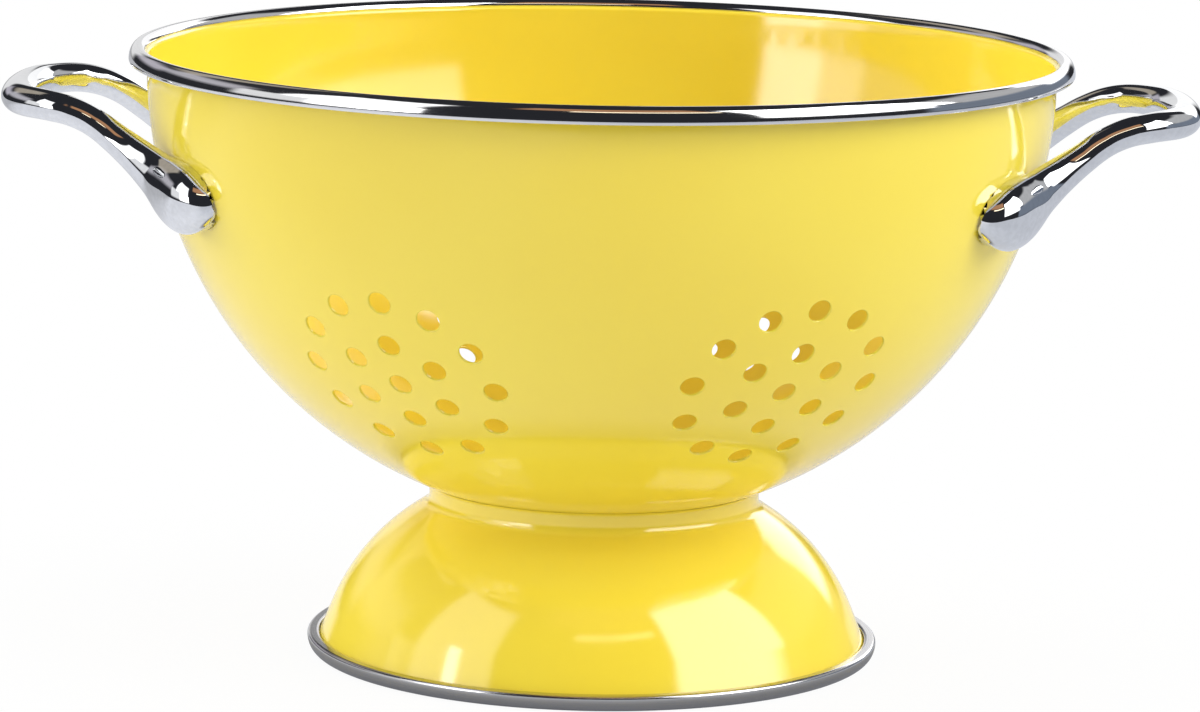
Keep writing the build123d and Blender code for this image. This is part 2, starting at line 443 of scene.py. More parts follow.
def rounded(corners: Sequence[Pair], radius: float, steps: int) -> list[Spot]:
    """Return a three-corner path with a rounded middle, which faces left of its travel.

    Args:
        corners: the start, the corner and the end.
        radius: the radius of the corner.
        steps: the number of steps round it.

    Returns:
        The points of the bend and the two ends.
    """
    start, corner, end = (Vector(point) for point in corners)
    into, away = (corner - start).normalized(), (end - corner).normalized()
    turn = into.angle_signed(away)
    half = math.tan(abs(turn) / 2) * radius
    side = 1 if turn > 0 else -1
    left = Vector((-into.y, into.x))
    centre = corner - into * half - left * (radius * side)
    first = math.degrees(math.atan2(side * left.y, side * left.x))
    bend = arc(tuple(centre), radius, first, first - math.degrees(turn), steps, side)
    right = Vector((-away.y, away.x))
    return [Spot(*start, *left), *bend, Spot(*end, *right)]


class MeshMaker:
    """Collects points, faces and exact surface directions, and makes one mesh object."""

    def __init__(self) -> None:
        """Start with nothing."""
        self.points: list[Vector] = []
        self.marks: list[float] = []
        self.faces: list[Sequence[int]] = []
        self.facings: list[Vector] = []

    def point(self, place: Vector, mark: float = 0.0) -> int:
        """Add a point.

        Args:
            place: where it lies.
            mark: 1 on a cut edge, and 0 elsewhere.

        Returns:
            Its number.
        """
        self.points.append(place)
        self.marks.append(mark)
        return len(self.points) - 1

    def face(self, corners: Sequence[int], facings: Sequence[Vector]) -> None:
        """Add a face, turned so that it follows its directions.

        Args:
            corners: the numbers of its points, in order.
            facings: the surface's direction at each of them.
        """
        first, second, third = (self.points[corner] for corner in corners[:3])
        if (second - first).cross(third - first).dot(facings[0]) < 0:
            corners, facings = corners[::-1], facings[::-1]
        self.faces.append(tuple(corners))
        self.facings.extend(facings)

    def bridge(self, first: Sequence[int], second: Sequence[int], first_facings: Sequence[Vector],
               second_facings: Sequence[Vector]) -> None:
        """Join two closed rows of points by a band of faces.

        Args:
            first: the first row's points.
            second: the second row's points.
            first_facings: the surface's directions along the first row.
            second_facings: the surface's directions along the second row.
        """
        count = len(first)
        for here in range(count):
            there = (here + 1) % count
            corners = (first[here], first[there], second[there], second[here])
            facings = (first_facings[here], first_facings[there],
                       second_facings[there], second_facings[here])
            self.face(corners, facings)

    def lathe(self, outline: Sequence[Spot], columns: int, start: Sequence[int] | None = None,
              end: Sequence[int] | None = None) -> None:
        """Turn an outline round the Z axis.

        Args:
            outline: its points, in order.
            columns: the number of steps round the axis.
            start: an earlier row that stands for the first point, or None.
            end: an earlier row that stands for the last point. Where both rows are None, the
                outline closes on its first point.
        """
        angles = around(columns)
        rows: list[Sequence[int]] = []
        last = len(outline) - 1
        for place, spot in enumerate(outline):
            if place == 0 and start is not None:
                rows.append(start)
            elif place == last and end is not None:
                rows.append(end)
            elif place and spot.meets(outline[place - 1]):
                rows.append(rows[-1])
            elif place == last and spot.meets(outline[0]):
                rows.append(rows[0])
            else:
                rows.append([self.point(spot.at(angle)) for angle in angles])
        pairs = list(zip(rows, outline))
        if start is None and end is None:
            pairs.append(pairs[0])
        for (row, spot), (next_row, next_spot) in zip(pairs, pairs[1:]):
            if row is not next_row:
                self.bridge(row, next_row, [spot.facing(angle) for angle in angles],
                            [next_spot.facing(angle) for angle in angles])

    def build(self, name: str) -> bpy.types.Object:
        """Make the mesh object.

        Args:
            name: the object's name.

        Returns:
            The object, linked to the scene.
        """
        mesh = bpy.data.meshes.new(name)
        mesh.from_pydata(self.points, [], self.faces)
        mesh.polygons.foreach_set("use_smooth", [True] * len(mesh.polygons))
        mesh.normals_split_custom_set(self.facings)
        marks = mesh.attributes.new(EDGE_MARK, "FLOAT", "POINT")
        marks.data.foreach_set("value", self.marks)
        piece = bpy.data.objects.new(name, mesh)
        bpy.context.scene.collection.objects.link(piece)
        return piece


def dress(piece: bpy.types.Object, material: bpy.types.Material, slot: Slot,
          replaced: str | None = None) -> None:
    """Give a piece its finish and its place on the frame, and report it.

    Args:
        piece: the new piece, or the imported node.
        material: its material.
        slot: the record's slot for that material.
        replaced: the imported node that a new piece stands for.
    """
    piece.data.materials.clear()
    piece.data.materials.append(material)
    if replaced:
        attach(piece, ROOT)
        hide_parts(replaced)
    LOG.info("%s: %s, %d faces", piece.name, slot.value, len(piece.data.polygons))


@dataclass
class Bowl:
    """The pressed bowl: a hemisphere with a flat bottom, an out-turned lip and drain holes.

    Its faces are laid out on a plan, the outer face unrolled from the bottom, in millimetres.
    hole_clear is a width on that plan. rim_clear and band_clear are shares of a fill step.
    """

    radius: float
    rim_height: float
    lip_end: float
    wall: float = 0.8 * MM
    straight: float = 3.0 * MM
    lip_bend: float = 0.4 * MM
    bend_steps: int = 6
    flat_radius: float = 38.25 * MM
    corner: float = 10.0 * MM
    corner_shares: tuple[float, ...] = (0.0, 1 / 3, 2 / 3, 1.0)
    corner_columns: int = 128
    hole_radius: float = 3.2 * MM
    hole_edge: float = 0.32 * MM
    edge_steps: int = 5
    ring_spacing: float = 13.7 * MM
    ring_counts: tuple[int, ...] = (6, 12)
    group_drop: float = 36.5
    group_sides: tuple[float, ...] = (-60.0, 60.0, 120.0, 240.0)
    pattern_turn: float = -4.0
    screw_hole_radius: float = 2.8 * MM
    pad_sides: tuple[float, ...] = (-PAD_SIDE, PAD_SIDE, 180 - PAD_SIDE, 180 + PAD_SIDE)
    columns: int = 384
    hole_columns: int = 36
    guard_width: float = 1.1 * MM
    hole_clear: float = 3.2
    fill_step: float = 5.0 * MM
    rim_clear: float = 0.6
    band_clear: float = 0.3
    plan_slack: float = 1e-6
    inner_lean: float = 2.5
    lean_depth: float = 45.0 * MM
    inner_flare: float = 4.0
    flare_depth: float = 5.0 * MM
    maker: MeshMaker = field(default_factory=MeshMaker)

    def __post_init__(self) -> None:
        """Work out the places that follow from the sizes."""
        self.centre = Vector((0.0, 0.0, self.rim_height - self.straight))
        rise = math.sqrt((self.radius - self.corner) ** 2 - self.flat_radius**2)
        self.bottom = self.centre.z - rise - self.corner
        self.corner_turn = math.atan2(self.flat_radius, rise)
        self.sphere_start = self.flat_radius + self.corner * self.corner_turn
        self.reach = self.sphere_start + self.radius * (math.pi / 2 - self.corner_turn)

    def skin(self, run: float, angle: float, depth: float) -> tuple[Vector, Vector]:
        """Find a point of the sheet by the way to it along the outer face from the bottom.

        Args:
            run: the length of that way.
            angle: its angle round the Z axis.
            depth: how far inside the outer face the point lies.

        Returns:
            The point and the outward direction.
        """
        if run <= self.flat_radius:
            spot = Spot(run, self.bottom, 0.0, -1.0)
        elif run <= self.sphere_start:
            turn = math.degrees((run - self.flat_radius) / self.corner) - 90
            spot = arc((self.flat_radius, self.bottom + self.corner), self.corner, turn, turn, 1)[0]
        else:
            turn = math.degrees(self.corner_turn + (run - self.sphere_start) / self.radius) - 90
            spot = arc((0.0, self.centre.z), self.radius, turn, turn, 1)[0]
        outward = spot.facing(angle)
        return spot.at(angle) - outward * depth, outward

    def inner_facing(self, height: float, outward: Vector) -> Vector:
        """Return the inner face's direction, which leans up a little towards the rim.

        The lean is full over the upper half of its depth, and a flare adds to it at the rim.

        Args:
            height: the height of the point.
            outward: the outer face's direction there.

        Returns:
            The direction.
        """
        under = self.rim_height - height
        lean = self.inner_lean * min(1.0, max(0.0, 2 * (1 - under / self.lean_depth)))
        lean += self.inner_flare * max(0.0, 1 - under / self.flare_depth)
        rising = Vector(UP) - outward * outward.z
        return (rising * math.tan(math.radians(lean)) - outward).normalized()

    def unrolled(self, place: Vector) -> Pair:
        """Find where a point of the outer face lies on the plan.

        Args:
            place: the point.

        Returns:
            Its place on the plan, in millimetres.
        """
        offset = place - self.centre
        level = math.hypot(offset.x, offset.y)
        run = level
        if level > self.flat_radius:
            turn = math.atan2(level, -offset.z)
            run = self.sphere_start + self.radius * (turn - self.corner_turn)
        angle = math.atan2(offset.y, offset.x)
        return run * math.cos(angle) / MM, run * math.sin(angle) / MM

    def wall_axes(self, side: float, drop: float) -> Matrix:
        """Return the level, rising and outward directions at a place of the wall.

        Args:
            side: the place's angle from +X, in degrees.
            drop: its angle below the horizon, in degrees.

        Returns:
            A matrix whose columns are the three directions.
        """
        turn, fall = math.radians(side), math.radians(drop)
        outward = Vector(polar(math.cos(fall), turn, -math.sin(fall)))
        level = Vector((-math.sin(turn), math.cos(turn), 0.0))
        return Matrix((level, outward.cross(level), outward)).transposed()

    def ring_places(self) -> Iterator[Pair]:
        """Yield each hole of a group as its distance from the middle and its angle."""
        yield 0.0, 0.0
        for ring, count in enumerate(self.ring_counts, start=1):
            yield from ((ring * self.ring_spacing, angle) for angle in around(count))

    def wall_holes(self) -> Iterator[tuple[Vector, Matrix, float]]:
        """Yield each hole of the wall as its middle, its directions and its radius."""
        for side in self.group_sides:
            axes = self.wall_axes(side, self.group_drop)
            for distance, angle in self.ring_places():
                half_step = math.pi / self.ring_counts[0] if distance == self.ring_spacing else 0.0
                turn = angle + half_step + math.radians(self.pattern_turn)
                lean = distance / self.radius
                aim = axes @ Vector(polar(math.sin(lean), turn, math.cos(lean)))
                level = aim.orthogonal().normalized()
                own = Matrix((level, aim.cross(level), aim)).transposed()
                yield self.centre + aim * self.radius, own, self.hole_radius
        for side in self.pad_sides:
            axes = self.wall_axes(side, PAD_DROP)
            yield self.centre + axes.col[2] * self.radius, axes, self.screw_hole_radius

    def bottom_holes(self) -> Iterator[tuple[Vector, Matrix, float]]:
        """Yield each hole of the flat bottom as its middle, its directions and its radius."""
        down = Matrix(((1.0, 0.0, 0.0), (0.0, -1.0, 0.0), (0.0, 0.0, -1.0)))
        for distance, angle in self.ring_places():
            yield Vector(polar(distance, angle, self.bottom)), down, self.hole_radius

    def sag(self, distance: float, depth: float, curved: bool) -> float:
        """Find the skin's height along a hole's axis, from the hole's middle.

        Args:
            distance: how far from the axis.
            depth: how far inside the outer face.
            curved: True where the wall is curved.

        Returns:
            The height.
        """
        if not curved:
            return -depth
        return math.sqrt((self.radius - depth) ** 2 - distance**2) - self.radius

    def edge_profile(self, radius: float, curved: bool) -> list[Spot]:
        """Return the rounded edge of a hole, from the outer face to the inner one.

        Args:
            radius: the hole's radius.
            curved: True where the wall is curved.

        Returns:
            Points by their distance from the hole's axis and their height along it.
        """
        wide = radius + self.hole_edge
        high = self.sag(wide, 0.0, curved) - self.hole_edge
        low = self.sag(wide, self.wall, curved) + self.hole_edge
        return (arc((wide, high), self.hole_edge, 90, 180, self.edge_steps)
                + arc((wide, low), self.hole_edge, 180, 270, self.edge_steps))

    def cut_hole(self, middle: Vector, axes: Matrix, radius: float,
                 curved: bool) -> tuple[list[int], list[int]]:
        """Line one hole with its edge.

        Args:
            middle: the hole's middle on the outer face.
            axes: two directions across it and its outward axis.
            radius: its radius.
            curved: True where the wall is curved.

        Returns:
            The outermost rows on the outer and the inner face.
        """
        ways = [axes @ Vector(polar(1.0, turn)) for turn in around(self.hole_columns)]
        outward = axes.col[2]
        profile = self.edge_profile(radius, curved)
        rows, facings = [], []
        for place, spot in enumerate(profile):
            mark = 0.0 if place in (0, len(profile) - 1) else 1.0
            rows.append([self.maker.point(middle + way * spot.radius + outward * spot.height, mark)
                         for way in ways])
            facings.append([way * spot.out + outward * spot.up for way in ways])
        for place in range(len(profile) - 1):
            self.maker.bridge(rows[place], rows[place + 1], facings[place], facings[place + 1])
        return rows[0], rows[-1]

    def plan_fill(self, holes: Sequence[Triple]) -> Iterator[Pair]:
        """Yield plain plan points between the holes, on a net of even triangles.

        Args:
            holes: the middle and the clear radius of each hole on the plan.
        """
        step = self.fill_step / MM
        row_share = math.sqrt(0.75)
        edge = self.reach / MM - self.rim_clear * step
        band_start = self.flat_radius / MM - self.band_clear * step
        band_end = self.sphere_start / MM + self.band_clear * step
        rows = int(edge / (step * row_share)) + 1
        for row in range(-rows, rows + 1):
            y = row * step * row_share
            for column in range(-rows - 1, rows + 2):
                x = (column + (row % 2) / 2) * step
                run = math.hypot(x, y)
                if run > edge or band_start < run < band_end:
                    continue
                if all(math.hypot(x - hole_x, y - hole_y) > clear for hole_x, hole_y, clear in holes):
                    yield x, y

    def build(self) -> bpy.types.Object:
        """Make the bowl's mesh.

        Returns:
            The bowl as one object.
        """
        maker = self.maker
        plan: list[Pair] = []
        outer: list[int] = []
        inner: list[int] = []
        facings: list[Vector] = []
        owner: list[int] = []
        edges: list[tuple[int, int]] = []
        no_hole = -1

        def add_plain(place: Sequence[float]) -> None:
            """Add a plain point of both faces.

            Args:
                place: where it lies on the plan.
            """
            x, y = place[:2]
            run, angle = math.hypot(x, y) * MM, math.atan2(y, x)
            top, outward = self.skin(run, angle, 0.0)
            below, outward = self.skin(run, angle, self.wall)
            plan.append((x, y))
            outer.append(maker.point(top))
            inner.append(maker.point(below))
            facings.append(outward)
            owner.append(no_hole)

        for angle in around(self.columns):
            add_plain(polar(self.reach / MM, angle))
        rim_outer, rim_inner = outer[:], inner[:]
        holes = [(*hole, True) for hole in self.wall_holes()]
        holes += [(*hole, False) for hole in self.bottom_holes()]
        clear = []
        for number, (middle, axes, radius, curved) in enumerate(holes):
            outer_row, inner_row = self.cut_hole(middle, axes, radius, curved)
            start = len(plan)
            count = len(outer_row)
            for outer_point, inner_point in zip(outer_row, inner_row):
                place = maker.points[outer_point]
                plan.append(self.unrolled(place))
                outer.append(outer_point)
                inner.append(inner_point)
                facings.append((place - self.centre).normalized() if curved else -Vector(UP))
                owner.append(number)
            edges += [(start + here, start + (here + 1) % count) for here in range(count)]
            clear.append((*self.unrolled(middle), (radius + self.hole_edge) / MM + self.hole_clear))
            for turn in around(count, 0.5):
                way = axes @ Vector(polar(1.0, turn))
                guard = middle + way * (radius + self.hole_edge + self.guard_width)
                if curved:
                    guard = self.centre + (guard - self.centre).normalized() * self.radius
                add_plain(self.unrolled(guard))
        for share in self.corner_shares:
            run = (self.flat_radius + share * (self.sphere_start - self.flat_radius)) / MM
            for angle in around(self.corner_columns):
                add_plain(polar(run, angle))
        for place in self.plan_fill(clear):
            add_plain(place)
        # The triangles of the plan stand for both faces, apart from those that close a hole.
        result = delaunay_2d_cdt([Vector(point) for point in plan], edges, [], 0, self.plan_slack)
        triangles, sources = result[2], [found[0] for found in result[3]]
        for triangle in triangles:
            corners = [sources[corner] for corner in triangle]
            owners = {owner[corner] for corner in corners}
            if len(owners) == 1 and no_hole not in owners:
                continue
            ways = [facings[corner] for corner in corners]
            maker.face([outer[corner] for corner in corners], ways)
            below = [inner[corner] for corner in corners]
            maker.face(below, [self.inner_facing(maker.points[point].z, way)
                               for point, way in zip(below, ways)])
        maker.lathe(self.lip_outline(), self.columns, rim_outer, rim_inner)
        return maker.build("bowl_coated")

    def lip_outline(self) -> list[Spot]:
        """Draw the upright rim and the out-turned lip.

        Returns:
            Their outline, from the outer face round to the inner one.
        """
        low = self.rim_height - self.wall / 2
        bend = (self.radius + self.lip_bend, low - self.lip_bend)
        under = [Spot(self.radius, self.centre.z, 1.0, 0.0),
                 *arc(bend, self.lip_bend, 180, 90, self.bend_steps, -1),
                 Spot(self.lip_end, low, 0.0, -1.0)]
        end = arc((self.lip_end, self.rim_height), self.wall / 2, -90, 90, self.bend_steps)
        over = [spot.inside(self.wall) for spot in reversed(under)]
        for place in (-2, -1):
            way = self.inner_facing(over[place].height, Vector(RIGHT))
            over[place] = Spot(over[place].radius, over[place].height, way.x, way.z)
        return under + end[1:-1] + over


@dataclass
class Foot:
    """The pressed foot: a neck welded under the bowl, a domed shoulder and an out-turned lip."""

    seat_radius: float
    seat_centre: float
    band_ring: float
    wall: float = 0.8 * MM
    neck_radius: float = 46.0 * MM
    height: float = 46.9 * MM
    flange: float = 4.0 * MM
    flange_bend: float = 0.9 * MM
    root_radius: float = 3.5 * MM
    shoulder_share: float = 0.18
    shoulder_drop: float = 8.9 * MM
    dome_start: float = 20.65
    dome_end: float = 13.35
    lip_width: float = 1.85 * MM
    lip_bend: float = 2.0 * MM
    lip_height: float = 2.9 * MM
    lip_reach: float = 1.0 * MM
    fill_radius: float = 1.4 * MM
    flange_steps: int = 8
    root_steps: int = 14
    dome_steps: int = 40
    lip_steps: int = 10
    fill_steps: int = 12
    seat_steps: int = 4
    columns: int = 320

    def outline(self, filled: bool = False) -> list[Spot]:
        """Draw the outer face, from the weld flange down to the lip's end.

        Args:
            filled: True where the paint fills the corner under the bowl with a hollow bend.

        Returns:
            Its outline.
        """
        lip_tip = Vector((self.band_ring + self.lip_reach, self.lip_height))
        lip_root = lip_tip - Vector((self.lip_width, 0.0))
        across = self.neck_radius + self.shoulder_share * (lip_root.x - self.neck_radius)
        shoulder = Vector((across, self.height - self.shoulder_drop))
        chord = lip_root - shoulder
        slope = math.atan2(-chord.y, chord.x)
        start, end = math.radians(self.dome_start), math.radians(self.dome_end)
        top_slope, low_slope = slope - start, slope + end
        tangent = chord.length * math.sin(end) / math.sin(start + end)
        dome_radius = tangent / math.tan((start + end) / 2)
        dome_centre = (shoulder.x - dome_radius * math.sin(top_slope),
                       shoulder.y - dome_radius * math.cos(top_slope))
        neck_foot = (self.neck_radius,
                     shoulder.y + (shoulder.x - self.neck_radius) * math.tan(top_slope))
        inner_edge = self.neck_radius - self.flange
        flange_end = (inner_edge, self.seat(inner_edge))
        corner = (self.neck_radius, self.seat(self.neck_radius))
        if filled:
            spots = self.weld_fill(inner_edge)
        else:
            spots = rounded([flange_end, corner, neck_foot], self.flange_bend, self.flange_steps)[:-1]
        spots += rounded([corner, neck_foot, tuple(shoulder)], self.root_radius, self.root_steps)[1:-1]
        spots += arc(dome_centre, dome_radius, 90 - math.degrees(top_slope),
                     90 - math.degrees(low_slope), self.dome_steps)
        skirt = (spots[-1].radius, spots[-1].height)
        spots += rounded([skirt, tuple(lip_root), tuple(lip_tip)], self.lip_bend, self.lip_steps)[1:]
        return spots

    def weld_fill(self, inner_edge: float) -> list[Spot]:
        """Draw the face along the seat and round the filled corner to the neck's wall.

        Args:
            inner_edge: the flange's inner edge, by its distance from the axis.

        Returns:
            Its outline.
        """
        middle = self.neck_radius + self.fill_radius
        reach = self.seat_radius + self.fill_radius
        centre = (middle, self.seat_centre - math.sqrt(reach**2 - middle**2))
        lean = math.degrees(math.atan2(self.seat_centre - centre[1], -middle))
        bend = arc(centre, self.fill_radius, lean, 180, self.fill_steps, -1)
        spots = []
        for step in range(self.seat_steps + 1):
            across = inner_edge + (bend[0].radius - inner_edge) * step / self.seat_steps
            height = self.seat(across)
            out = -across / self.seat_radius
            spots.append(Spot(across, height, out, (self.seat_centre - height) / self.seat_radius))
        return spots + bend

    def seat(self, across: float) -> float:
        """Return the height of the seat under the bowl, at a distance from the axis."""
        return self.seat_centre - math.sqrt(self.seat_radius**2 - across**2)

    def build(self) -> bpy.types.Object:
        """Make the foot's mesh.

        Returns:
            The foot as one object.
        """
        outer = self.outline(filled=True)
        inner = [spot.inside(self.wall) for spot in reversed(self.outline())]
        lip_edge = [Spot(spot.radius, spot.height, 1.0, 0.0) for spot in (outer[-1], inner[0])]
        seam_edge = [Spot(spot.radius, spot.height, -1.0, 0.0) for spot in (inner[-1], outer[0])]
        maker = MeshMaker()
        maker.lathe(outer + lip_edge + inner + seam_edge, self.columns)
        return maker.build("foot_coated")


@dataclass
class TrimBand:
    """A rolled strip that grips a sheet's edge: a bowed face with one tight corner."""

    name: str
    outer_radius: float
    height: float
    tube: float
    slot: Pair
    corner_up: bool
    corner: float = 1.0 * MM
    wall: float = 0.5 * MM
    face_steps: int = 40
    corner_steps: int = 10
    cap_steps: int = 8
    turn_step: float = 5.0
    least_steps: int = 3
    columns: int = 384

    def outline(self) -> list[Spot]:
        """Draw the strip's outer face.

        Returns:
            Its outline, from one edge of the slot round to the other.
        """
        half = self.tube / 2
        ring, side = self.outer_radius - half, half - self.corner
        turn = 90 if self.corner_up else -90
        level = self.height + math.copysign(side, turn)
        face = arc((ring, level), half, -turn, 0, self.face_steps, tall=half + side)
        face += arc((ring + side, level), self.corner, 0, turn, self.corner_steps)
        if not self.corner_up:
            face.reverse()
        under, over = (
            arc((ring, self.height), half, start, end,
                max(self.least_steps, round((end - start) / self.turn_step)))
            for start, end in ((self.slot[1], 270), (90, self.slot[0])))
        return under + face + over

    def build(self) -> bpy.types.Object:
        """Make the band's mesh.

        Returns:
            The band as one object.
        """
        outer = self.outline()
        inner = [spot.inside(self.wall) for spot in reversed(outer)]

        def cap(edge: Spot, turn: int) -> list[Spot]:
            """Draw the round end of the strip.

            Args:
                edge: the end of the outer face.
                turn: 1 or -1, the way round to the inner face.

            Returns:
                The points between the two faces.
            """
            first = math.degrees(math.atan2(edge.up, edge.out))
            middle = (edge.radius - edge.out * self.wall / 2, edge.height - edge.up * self.wall / 2)
            return arc(middle, self.wall / 2, first, first + 180 * turn, self.cap_steps)[1:-1]

        spots = outer + cap(outer[-1], 1) + inner + cap(outer[0], -1)[::-1]
        spots = [spot if spot.height > 0 else Spot(spot.radius, 0.0, 0.0, -1.0) for spot in spots]
        maker = MeshMaker()
        maker.lathe(spots, self.columns)
        return maker.build(self.name)


# Places along one leg of a handle, from the middle of its grip to its pad. The first
# three shares are of the way out, the half spread and the rise from pad to grip. The
# last two are of the half depth and the half thickness.
BAR_SHARES = (
    (1.00, 0.00, 1.00, 1.00, 1.00),
    (0.98, 0.27, 1.00, 1.00, 1.00),
    (0.92, 0.44, 1.00, 0.98, 0.99),
    (0.78, 0.59, 0.99, 0.96, 0.95),
    (0.65, 0.64, 0.93, 0.94, 0.92),
    (0.53, 0.67, 0.80, 0.92, 0.91),
    (0.41, 0.71, 0.60, 0.92, 0.98),
    (0.285, 0.775, 0.385, 0.96, 1.21),
)
BULB_SHARES = (
    (0.175, 0.87, 0.193, 0.94, 0.85),
    (0.091, 0.974, 0.054, 1.00, 0.98),
    (0.030, 1.073, -0.037, 0.96, 1.00),
    (-0.012, 1.145, -0.088, 0.76, 0.84),
)


@dataclass
class CastHandle:
    """One chromed casting: an oval bar whose ends swell into bulbs that lie on the bowl.

    The skin is found by rays from the bar's middle line, and meets the bowl in a clean edge.
    far_share keeps the pad's dome off the far side of the bowl.
    """

    name: str
    side: int
    seat_centre: Vector
    seat_radius: float
    reach: float
    grip_height: float
    grip_depth: float = 9.6 * MM
    grip_thickness: float = 8.6 * MM
    bulb_depth: float = 10.4 * MM
    bulb_thickness: float = 15.8 * MM
    pad_length: float = 30.4 * MM
    pad_width: float = 18.4 * MM
    pad_tilt: float = 4.0
    crown: float = 8.6 * MM
    crown_power: float = 2.8
    tip_reach: float = 8.0 * MM
    blend: float = 2.5 * MM
    far_share: float = 9.0
    ray_reach: float = 20.0 * MM
    ray_strides: int = 50
    ray_halvings: int = 14
    edge_halvings: int = 9
    least_length: float = 1e-12
    columns: int = 72
    steps: int = 14
    cap_rings: int = 10

    def __post_init__(self) -> None:
        """Work out the pad's axes and the rings along one leg."""
        side, drop = math.radians(PAD_SIDE), math.radians(PAD_DROP)
        flat = math.cos(drop)
        self.outward = np.array((flat * math.cos(side), flat * math.sin(side), -math.sin(drop)))
        level = np.array((-math.sin(side), math.cos(side), 0.0))
        rising = np.cross(self.outward, level)
        tilt = math.radians(-self.pad_tilt)
        self.long_way = level * math.cos(tilt) + rising * math.sin(tilt)
        self.wide_way = rising * math.cos(tilt) - level * math.sin(tilt)
        self.middle = np.array(self.seat_centre)
        rings = self.leg_rings()
        self.rings = rings[:, :3]
        self.halves = rings[:, 3:]
        ahead = np.gradient(self.rings, axis=0)
        ahead[0] = BACK
        self.ahead = ahead / np.linalg.norm(ahead, axis=1, keepdims=True)
        across = np.cross(UP, self.ahead)
        self.across = across / np.linalg.norm(across, axis=1, keepdims=True)
        self.over = np.cross(self.ahead, self.across)

    def leg_rings(self) -> np.ndarray:
        """Run a smooth curve through the places and half sizes from the grip's middle to the bulb.

        Returns:
            A row for each ring: its middle's three places, its half depth and half thickness.
        """
        pad = self.middle + self.outward * self.seat_radius
        way_out = self.reach - self.grip_depth / 2 - pad[0]
        rise = self.grip_height - pad[2]
        sizes = [(BAR_SHARES, self.grip_depth, self.grip_thickness),
                 (BULB_SHARES, self.bulb_depth, self.bulb_thickness)]
        knots = [(pad[0] + row[0] * way_out, row[1] * pad[1], pad[2] + row[2] * rise,
                  row[3] * depth / 2, row[4] * thickness / 2)
                 for rows, depth, thickness in sizes for row in rows]
        knots.insert(0, tuple(value * (-1 if place == 1 else 1) for place, value in enumerate(knots[1])))
        runs = np.array(knots)
        found = []
        for start in range(1, len(runs) - 2):
            before, here, there, after = runs[start - 1:start + 3]
            for share in np.arange(self.steps) / self.steps:
                found.append(0.5 * (2 * here + (there - before) * share
                                    + (2 * before - 5 * here + 4 * there - after) * share**2
                                    + (3 * here - before - 3 * there + after) * share**3))
        return np.array([*found, runs[-2]])

    def depth(self, ring: np.ndarray, offset: np.ndarray) -> np.ndarray:
        """Find how far points lie outside the casting, ignoring the bowl.

        Args:
            ring: each point's ring.
            offset: each point's place from its ring's middle.

        Returns:
            Their distances, below 0 inside the casting.
        """
        half_depth, half_thickness = self.halves[ring, 0], self.halves[ring, 1]
        level = (offset * self.across[ring]).sum(-1) / half_depth
        upright = (offset * self.over[ring]).sum(-1) / half_thickness
        along = (offset * self.ahead[ring]).sum(-1) / self.tip_reach
        bar = (np.sqrt(level**2 + upright**2 + along**2) - 1) * half_depth
        place = self.rings[ring] + offset - self.middle
        height = np.maximum(np.linalg.norm(place, axis=-1) - self.seat_radius, 0.0) / self.crown
        outline = np.hypot(place @ self.long_way / (self.pad_length / 2),
                           place @ self.wide_way / (self.pad_width / 2))
        outline = np.where(place @ self.outward > 0, outline, self.far_share)
        dome = (outline**self.crown_power + height**self.crown_power) ** (1 / self.crown_power) - 1
        dome = dome * self.pad_width / 2
        # The bar and the pad's dome run into each other over the blend.
        share = np.clip(0.5 + 0.5 * (dome - bar) / self.blend, 0, 1)
        return dome + (bar - dome) * share - self.blend * share * (1 - share)

    def skin_reach(self, ring: np.ndarray, way: np.ndarray) -> np.ndarray:
        """Find the length of rays from their rings' middles to the skin.

        Args:
            ring: each ray's ring.
            way: each ray's direction.

        Returns:
            Their lengths.
        """
        low = np.zeros(ring.shape)
        open_rays = np.ones(ring.shape, bool)
        stride = self.ray_reach / self.ray_strides
        for _ in range(self.ray_strides):
            further = self.depth(ring, way * (low + stride)[..., None]) < 0
            open_rays &= further
            low = np.where(open_rays, low + stride, low)
        high = low + stride
        for _ in range(self.ray_halvings):
            half = (low + high) / 2
            within = self.depth(ring, way * half[..., None]) < 0
            low, high = np.where(within, half, low), np.where(within, high, half)
        return (low + high) / 2

    def seat_reach(self, ring: np.ndarray, way: np.ndarray) -> np.ndarray:
        """Find the length of rays from their rings' middles to the seat on the bowl.

        Args:
            ring: each ray's ring.
            way: each ray's direction.

        Returns:
            Their lengths, or the longest one where a ray misses the seat.
        """
        start = self.rings[ring] - self.middle
        slope = (start * way).sum(-1)
        inside = slope**2 - (start**2).sum(-1) + self.seat_radius**2
        meets = (inside > 0) & (slope < 0)
        return np.where(meets, -slope - np.sqrt(np.maximum(inside, 0)), self.ray_reach)

    def ways(self, ring: np.ndarray, turn: np.ndarray, climb: np.ndarray) -> np.ndarray:
        """Return rays' directions from their turns round the ring and climbs over its plane."""
        flat = (np.cos(turn)[..., None] * self.across[ring] + np.sin(turn)[..., None] * self.over[ring])
        return np.cos(climb)[..., None] * flat + np.sin(climb)[..., None] * self.ahead[ring]

    def leg(self) -> tuple[np.ndarray, np.ndarray, np.ndarray]:
        """Find one leg's skin.

        Returns:
            Its points, its skin's directions, and which points lie on the seat.
        """
        count = len(self.rings)
        # Flat rows of rays leave every ring, and rows that climb to the tip leave the last one.
        ring = np.concatenate([np.arange(count), np.full(self.cap_rings, count - 1)])
        climb = np.concatenate([np.zeros(count), np.arange(1, self.cap_rings + 1)
                                * (math.pi / 2 / self.cap_rings)])
        turn = np.tile(np.arange(self.columns) * (2 * math.pi / self.columns), (len(ring), 1))
        ring, climb = np.tile(ring[:, None], self.columns), np.tile(climb[:, None], self.columns)

